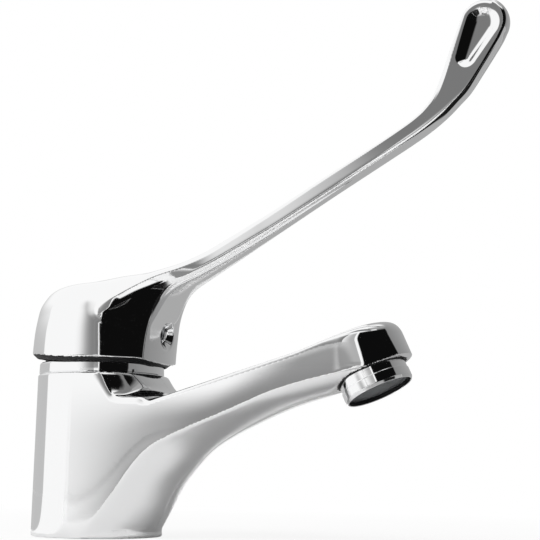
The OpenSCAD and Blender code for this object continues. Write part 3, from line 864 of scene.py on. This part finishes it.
def glow(nodes, kind, strength):
    """White light from an emission or a background."""
    node = nodes.new(kind)
    fill(node, {"Color": (1, 1, 1, 1), "Strength": strength})
    return node


def finish(name, colour, roughness, metallic=0.0, vary=0.05, grain=900.0, bump=0.02, tint=0.04):
    """A procedural finish: slight colour drift, uneven gloss and a fine grain."""
    material, nodes, shader = new_material(name)
    coords = nodes.new("ShaderNodeTexCoord")
    cloud = noise(nodes, coords, scale=60.0)
    fine = noise(nodes, coords, scale=grain, detail=5.0)
    dark = [c * (1 - tint) for c in colour]
    pale = [min(1.0, c * (1 + tint)) for c in colour]
    join(mix_colours(nodes, cloud, dark, pale), shader.inputs["Base Color"])
    gloss = ramp(nodes, fine, low=roughness - vary, high=roughness + vary, start=0.3, stop=0.7)
    join(gloss, shader.inputs["Roughness"])
    emboss(nodes, shader, fine, bump)
    fill(shader, {"Metallic": metallic})
    return material


def chrome_finish(name, colour, scuffs):
    """Polished chrome plate: a clear mirror with faint wipe marks and tiny specks."""
    material, nodes, shader = new_material(name)
    coords = nodes.new("ShaderNodeTexCoord")
    film = noise(nodes, coords, scale=45.0, detail=4.0)
    wipes = noise(nodes, coords, scale=150.0, detail=2.0, stretch=WIPE_STRETCH)
    patch = noise(nodes, coords, scale=38.0, detail=1.0)
    specks = nodes.new("ShaderNodeTexVoronoi")
    fill(specks, {"Scale": 330.0})
    join(coords.outputs["Object"], specks.inputs["Vector"])
    spot = ramp(nodes, specks.outputs["Distance"], low=1.0, high=0.0, start=0.05, stop=0.1)
    patchy = ramp(nodes, patch, low=0.0, high=0.6, start=0.66, stop=0.72)
    dirt = reckon(nodes, "MULTIPLY", spot, patchy, clamp=True)
    join(mix_colours(nodes, dirt, colour, SPECK_GREY), shader.inputs["Base Color"])
    haze = ramp(nodes, film, low=0.025, high=0.05 + scuffs, start=0.35, stop=0.75)
    streak = ramp(nodes, wipes, low=0.0, high=0.05, start=0.55, stop=0.8)
    join(reckon(nodes, "ADD", haze, streak), shader.inputs["Roughness"])
    emboss(nodes, shader, wipes, strength=0.006)
    fill(shader, {"Metallic": 1.0})
    return material


def card_finish(name):
    """Studio card: a grey tone that fades out towards its soft edges."""
    material, nodes, shader = new_material(name)
    nodes.remove(shader)
    tone = nodes.new("ShaderNodeAttribute")
    tone.attribute_name = "tone"
    shows = nodes.new("ShaderNodeAttribute")
    shows.attribute_name = "shows"
    light = nodes.new("ShaderNodeEmission")
    join(tone.outputs["Color"], light.inputs["Color"])
    clear = nodes.new("ShaderNodeBsdfTransparent")
    mix = mix_shaders(nodes, shows.outputs["Fac"], clear, light)
    join(mix, nodes["Material Output"].inputs["Surface"])
    return material


def floor_finish(name):
    """Pale floor that is white in the distance and dark in the chrome close to the tap."""
    material, nodes, shader = new_material(name)
    fill(shader, {"Base Color": (*FLOOR_GREY, 1), "Roughness": FLOOR_ROUGHNESS})
    coords = nodes.new("ShaderNodeTexCoord")
    reach = nodes.new("ShaderNodeVectorMath")
    reach.operation = "LENGTH"
    join(coords.outputs["Object"], reach.inputs[0])
    away = reach.outputs["Value"]
    seen = ramp(nodes, away, low=0.88, high=1.0, start=0.08, stop=0.4)
    mirrored = ramp(nodes, away, low=0.0, high=0.5, start=0.12, stop=0.5)
    rays = nodes.new("ShaderNodeLightPath").outputs
    direct = reckon(nodes, "MULTIPLY", rays["Is Camera Ray"], seen)
    share = reckon(nodes, "MULTIPLY_ADD", rays["Is Glossy Ray"], mirrored, direct, clamp=True)
    light = glow(nodes, "ShaderNodeEmission", strength=1.0)
    mix = mix_shaders(nodes, share, shader, light)
    join(mix, nodes["Material Output"].inputs["Surface"])
    return material


def shared(name, make, *values):
    """The material of this name, made when it is first asked for."""
    return bpy.data.materials.get(name) or make(name, *values)


def wear(obj, material):
    """Give a new piece one material."""
    obj.data.materials.clear()
    obj.data.materials.append(material)


def recoat(node, material):
    """Give a CAD node its better material, slot by slot."""
    obj = bpy.data.objects[node]
    if not obj.material_slots:
        obj.data.materials.append(material)
    for slot in obj.material_slots:
        slot.material = material


# Settings

def colour_setting(name, description, default):
    """A colour that a user can change."""
    return bpy.props.FloatVectorProperty(
        name=name, description=description, subtype="COLOR", default=default, min=0, max=1)


class TapFinishes(bpy.types.PropertyGroup):
    """Colours and gloss of the tap."""

    chrome: colour_setting("Chrome", "Colour of the chrome plate", (0.93, 0.932, 0.935))
    scuffs: bpy.props.FloatProperty(
        name="Scuffs", description="How dull the hazy patches of the chrome are", subtype="FACTOR",
        default=0.02, min=0, max=0.3)
    # painted shade: the near-black colour laid on faces in hollows and gaps where shade falls
    bare_casting: colour_setting(
        "Painted shade", "Colour of the shade painted in the hollows and gaps", (0.03, 0.03, 0.031))
    rubber: colour_setting("Rubber", "Colour of the seals", (0.025, 0.025, 0.027))
    pale_plastic: colour_setting(
        "Pale plastic", "Colour of the pale cartridge parts", (0.78, 0.78, 0.75))
    grey_plastic: colour_setting(
        "Grey plastic", "Colour of the cartridge housing", (0.3, 0.31, 0.33))
    ceramic: colour_setting("Ceramic", "Colour of the lapped discs", (0.86, 0.84, 0.78))
    brass: colour_setting("Brass", "Colour of the bare brass", (0.72, 0.52, 0.22))
    steel: colour_setting("Steel", "Colour of the screw and the outlet screen", (0.4, 0.41, 0.42))


class TapSizes(bpy.types.PropertyGroup):
    """Fineness of the tap's skins."""

    body_step: bpy.props.FloatProperty(
        name="Body fineness", description="Width of one face of the body's skin, in millimetres",
        default=0.6, min=0.4, max=3)
    handle_step: bpy.props.FloatProperty(
        name="Handle fineness",
        description="Width of one face of the handle's skin, in millimetres",
        default=0.42, min=0.4, max=3)
    ring_faces: bpy.props.IntProperty(
        name="Ring faces", description="Faces round each turned ring", default=256, min=32, max=512)


def plate(obj, bare):
    """Chrome plate on a piece, with painted shade on the faces that are picked out, where shade falls
    in hollows and gaps.
    """
    coat = bpy.context.scene.tap_finishes
    wear(obj, shared("chrome_plate", chrome_finish, coat.chrome, coat.scuffs))
    # painted shade: a dull near-black material on the picked-out faces, standing in for shade
    shade_paint = bpy.data.materials.get("bare_casting") or finish(
        "bare_casting", coat.bare_casting, roughness=0.55, metallic=0.8, vary=0.1, bump=0.3, tint=0.2)
    obj.data.materials.append(shade_paint)
    obj.data.polygons.foreach_set("material_index", bare.astype(np.int32))


# Operators

class TAP_OT_body(bpy.types.Operator):
    """Cast the column, neck and spout as one smooth body"""

    bl_idname = "tap.body"
    bl_label = "Body"

    def execute(self, context):
        step = context.scene.tap_sizes.body_step
        points, normals, quads = grow_skin(body_field, BODY_BOX, step)
        obj = put_mesh("cast_body", points, quads, normals)
        # painted shade on the faces inside the outlet socket, behind the outlet ring
        ring_r, s = from_outlet(*points[quads].mean(1).T)
        deep = (s > BOSS_S - PAINTED_SHADE_SOCKET_MOUTH) & (s < PAINTED_SHADE_SOCKET_TOP)
        plate(obj, (ring_r < PAINTED_SHADE_SOCKET_R) & deep)
        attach(obj, "tap")
        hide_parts("body")
        return {"FINISHED"}


class TAP_OT_handle(bpy.types.Operator):
    """Forge the cap, the lever and its finger recess as one handle"""

    bl_idname = "tap.handle"
    bl_label = "Handle"

    def execute(self, context):
        step = context.scene.tap_sizes.handle_step
        points, normals, quads = grow_skin(handle_field, HANDLE_BOX, step)
        obj = put_mesh("elbow_handle", points, quads, normals)
        middles = points[quads].mean(1).T
        # painted shade inside the cap and under its rim, in the gap over the cover ring
        plate(obj, (cap_room(*middles) < PAINTED_SHADE_ROOM) | (cap_rim(*middles) > -PAINTED_SHADE_RIM))
        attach(obj, "lever")
        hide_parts("handle")
        return {"FINISHED"}


class TAP_OT_rings(bpy.types.Operator):
    """Turn the cover ring under the cap and the ring round the outlet"""

    bl_idname = "tap.rings"
    bl_label = "Turned rings"

    def execute(self, context):
        faces = context.scene.tap_sizes.ring_faces
        for name, profile, place, node in (
            ("cover_collar", COVER_PROFILE, at_column, "cover_ring"),
            ("outlet_ring", OUTLET_PROFILE, at_outlet, "aerator_housing"),
        ):
            obj = lathe(name, profile, place, faces)
            x, y, z = np.array([face.center for face in obj.data.polygons]).T / MM
            if node == "cover_ring":
                # painted shade on the cover ring's top step, in the gap under the cap
                plate(obj, z > PAINTED_SHADE_COVER_Z)
            else:
                # painted shade on the inside wall of the outlet ring
                plate(obj, from_outlet(x, y, z)[0] < PAINTED_SHADE_OUTLET_R)
            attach(obj, "tap")
            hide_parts(node)
        return {"FINISHED"}


WIRE_SECTION = ((-0.5, 0), (0.5, 0), (0.5, 1), (-0.5, 1))
WIRE_FACES = ((0, 1, 5, 4), (1, 2, 6, 5), (2, 3, 7, 6), (3, 0, 4, 7), (3, 2, 1, 0), (4, 5, 6, 7))


class TAP_OT_outlet_mesh(bpy.types.Operator):
    """Lay the fine wire mesh across the outlet, in two crossing layers"""

    bl_idname = "tap.outlet_mesh"
    bl_label = "Outlet mesh"

    def execute(self, context):
        points, quads = [], []
        for turned in (False, True):
            low = MESH_S + (MESH_LAYER if turned else 0.0)
            for n in range(-MESH_WIRES, MESH_WIRES + 1):
                middle = n * MESH_PITCH
                reach = math.sqrt(MESH_R ** 2 - middle ** 2)
                first = len(points)
                for along in (-reach, reach):
                    for across, rise in WIRE_SECTION:
                        side = middle + across * MESH_WIRE
                        x, y = (side, along) if turned else (along, side)
                        points.append(at_outlet(x, y, low + rise * MESH_WIRE))
                for face in WIRE_FACES:
                    quads.append([first + i for i in (face[::-1] if turned else face)])
        obj = put_mesh("outlet_mesh", points, quads)
        obj.data.polygons.foreach_set("use_smooth", [False] * len(quads))
        steel = context.scene.tap_finishes.steel
        wear(obj, finish("mesh_wire", steel, 0.4, metallic=1.0, vary=0.1, bump=0.05, tint=0.1))
        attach(obj, "tap")
        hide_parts("aerator_screen")
        return {"FINISHED"}


class TAP_OT_inner_parts(bpy.types.Operator):
    """Finish the cartridge, seals, screw and outlet insert"""

    bl_idname = "tap.inner_parts"
    bl_label = "Inner parts"

    def execute(self, context):
        coat = context.scene.tap_finishes
        moulded = dict(vary=0.06, grain=1200, bump=0.06)
        turned = dict(metallic=1.0, vary=0.08, grain=1500, bump=0.08)
        for name, colour, roughness, look, nodes in (
            ("seal_rubber", coat.rubber, 0.62, dict(vary=0.1, grain=700, bump=0.2, tint=0.2),
             ("base_seal", "seal_hot", "seal_cold", "seal_mix", "aerator_seal")),
            ("pale_moulding", coat.pale_plastic, 0.48, moulded,
             ("cartridge_base", "turret", "glide_ring")),
            ("grey_moulding", coat.grey_plastic, 0.46, moulded,
             ("disc_carrier", "cartridge_housing", "aerator_insert")),
            ("lapped_ceramic", coat.ceramic, 0.16, dict(grain=1600), ("fixed_disc", "moving_disc")),
            ("turned_brass", coat.brass, 0.3, dict(turned, tint=0.1), ("stem", "retaining_nut")),
            ("dark_steel", coat.steel, 0.34, dict(turned, tint=0.12), ("pivot_pin", "set_screw")),
        ):
            material = finish(name, colour, roughness, **look)
            for node in nodes:
                recoat(node, material)
        return {"FINISHED"}


class TAP_OT_stage(bpy.types.Operator):
    """Set the floor, cards, lamps, white surround and camera"""

    bl_idname = "tap.stage"
    bl_label = "Stage"

    def execute(self, context):
        scene = context.scene
        scene.view_settings.view_transform = "Standard"
        self.surround(scene)
        self.floor()
        self.cards()
        self.lamps(scene)
        self.camera(scene)
        return {"FINISHED"}

    def surround(self, scene):
        """White all round, but dimmer as a light on dull surfaces."""
        world = bpy.data.worlds.new("white_surround")
        scene.world = world
        world.use_nodes = True
        nodes = world.node_tree.nodes
        nodes.clear()
        rays = nodes.new("ShaderNodeLightPath").outputs
        seen = reckon(nodes, "MAXIMUM", rays["Is Camera Ray"], rays["Is Glossy Ray"])
        seen = reckon(nodes, "MAXIMUM", seen, rays["Is Transmission Ray"])
        dim = glow(nodes, "ShaderNodeBackground", strength=0.3)
        white = glow(nodes, "ShaderNodeBackground", strength=1.0)
        out = nodes.new("ShaderNodeOutputWorld")
        join(mix_shaders(nodes, seen, dim, white), out.inputs["Surface"])

    def floor(self):
        """A wide floor just under the foot."""
        corners = ((-1, -1), (1, -1), (1, 1), (-1, 1))
        points = [(i * FLOOR_HALF, j * FLOOR_HALF, FLOOR_Z) for i, j in corners]
        obj = put_mesh("stage_floor", points, [(0, 1, 2, 3)])
        wear(obj, floor_finish("pale_floor"))

    def cards(self):
        """The cards round the tap, the card beside the lever and the sheets on the floor."""
        for card in CARDS:
            wide, tall = card.stop - card.start, card.high - card.low

            def place(u, v, card=card, wide=wide, tall=tall):
                lift = card.low + tall * v
                lean = lift * (card.lean[0] * (1 - u) + card.lean[1] * u)
                turn = CAMERA_BEARING + math.radians(card.start + wide * u + lean)
                return (card.away * math.cos(turn), card.away * math.sin(turn),
                        CARD_EYE_Z + card.away * math.tan(math.radians(lift)))

            left, right, top, bottom = card.soft
            soft = (left / wide, right / wide, top / tall, bottom / tall)
            self.card(card.name, place, card.tones, soft)

        x0, x1, y, z0, z1, tone = LEVER_CARD

        def beside(u, v):
            return (x0 + (x1 - x0) * u, y, z0 + (z1 - z0) * v)

        self.card("lever_card", beside, (tone, tone), LEVER_CARD_SOFT)
        for i, (name, start, stop, near, far, tone, soft) in enumerate(SHEETS):
            def lie(u, v, i=i, start=start, stop=stop, near=near, far=far):
                turn = CAMERA_BEARING + math.radians(start + (stop - start) * u)
                reach = near * (far / near) ** v
                return (reach * math.cos(turn), reach * math.sin(turn), SHEET_Z + SHEET_GAP * i)

            self.card(name, lie, (tone, tone), soft)

    def card(self, name, place, tones, soft):
        """One card with soft edges, which only the gloss shows."""
        across, upward = CARD_GRID
        points, grey, shows = [], [], []
        for i in range(across + 1):
            for j in range(upward + 1):
                u, v = i / across, j / upward
                points.append(place(u, v))
                tone = tones[0] + (tones[1] - tones[0]) * u
                grey.extend((tone, tone, tone, 1.0))
                fade = [min(1.0, gap / width) for gap, width in zip((u, 1 - u, 1 - v, v), soft)]
                shows.append(math.prod(f * f * (3 - 2 * f) for f in fade))
        n = upward + 1
        quads = [(i * n + j, i * n + n + j, i * n + n + j + 1, i * n + j + 1)
                 for i in range(across) for j in range(upward)]
        obj = put_mesh(name, points, quads)
        tint = obj.data.color_attributes.new("tone", "FLOAT_COLOR", "POINT")
        tint.data.foreach_set("color", grey)
        veil = obj.data.attributes.new("shows", "FLOAT", "POINT")
        veil.data.foreach_set("value", shows)
        wear(obj, shared("card_board", card_finish))
        obj.visible_camera = False
        obj.visible_diffuse = False
        obj.visible_shadow = False

    def lamps(self, scene):
        """Soft lamps that the chrome doesn't mirror."""
        for name, spot, size, power in LAMPS:
            light = bpy.data.lights.new(name, "AREA")
            light.size = size * MM
            light.energy = power
            obj = bpy.data.objects.new(name, light)
            obj.location = [c * MM for c in spot]
            aim = Vector(LAMP_AIM) - Vector(spot)
            obj.rotation_euler = aim.to_track_quat("-Z", "Y").to_euler()
            scene.collection.objects.link(obj)
            obj.visible_glossy = False

    def camera(self, scene):
        """The camera that was fitted to the photo."""
        data = bpy.data.cameras.new("photo_camera")
        data.sensor_fit = "HORIZONTAL"
        data.sensor_width = SENSOR
        data.lens = SENSOR * FOCAL_PIXELS / PHOTO_PIXELS
        data.clip_start = CLIP_START * MM
        right, toward = Vector(CAMERA_RIGHT), Vector(CAMERA_TOWARD)
        ahead = -toward * math.cos(CAMERA_PITCH) + Vector((0, 0, 1)) * math.sin(CAMERA_PITCH)
        up = right.cross(ahead)
        side = right * math.cos(CAMERA_ROLL) + up * math.sin(CAMERA_ROLL)
        top = -right * math.sin(CAMERA_ROLL) + up * math.cos(CAMERA_ROLL)
        spot = toward * CAMERA_AWAY + right * CAMERA_ASIDE + Vector((0, 0, CAMERA_HEIGHT))
        matrix = Matrix((side, top, -ahead)).transposed().to_4x4()
        matrix.translation = spot * MM
        obj = bpy.data.objects.new("photo_camera", data)
        obj.matrix_world = matrix
        scene.collection.objects.link(obj)
        scene.camera = obj


class TAP_PT_panel(bpy.types.Panel):
    """The tap's pieces and finishes"""

    bl_idname = "TAP_PT_panel"
    bl_label = "Elbow lever tap"
    bl_space_type = "VIEW_3D"
    bl_region_type = "UI"
    bl_category = "Tap"

    def draw(self, context):
        for group in (context.scene.tap_sizes, context.scene.tap_finishes):
            for key in group.__annotations__:
                self.layout.prop(group, key)
        for step in OPERATORS:
            self.layout.operator(step.bl_idname)


OPERATORS = (
    TAP_OT_body, TAP_OT_handle, TAP_OT_rings, TAP_OT_outlet_mesh, TAP_OT_inner_parts, TAP_OT_stage,
)
CLASSES = (TapFinishes, TapSizes) + OPERATORS + (TAP_PT_panel,)


def register():
    for cls in CLASSES:
        bpy.utils.register_class(cls)
    bpy.types.Scene.tap_finishes = bpy.props.PointerProperty(type=TapFinishes)
    bpy.types.Scene.tap_sizes = bpy.props.PointerProperty(type=TapSizes)


def unregister():
    del bpy.types.Scene.tap_sizes
    del bpy.types.Scene.tap_finishes
    for cls in reversed(CLASSES):
        bpy.utils.unregister_class(cls)


def main():
    register()
    bpy.ops.tap.body()
    bpy.ops.tap.handle()
    bpy.ops.tap.rings()
    bpy.ops.tap.outlet_mesh()
    bpy.ops.tap.inner_parts()
    bpy.ops.tap.stage()


if __name__ == "__main__":
    main()
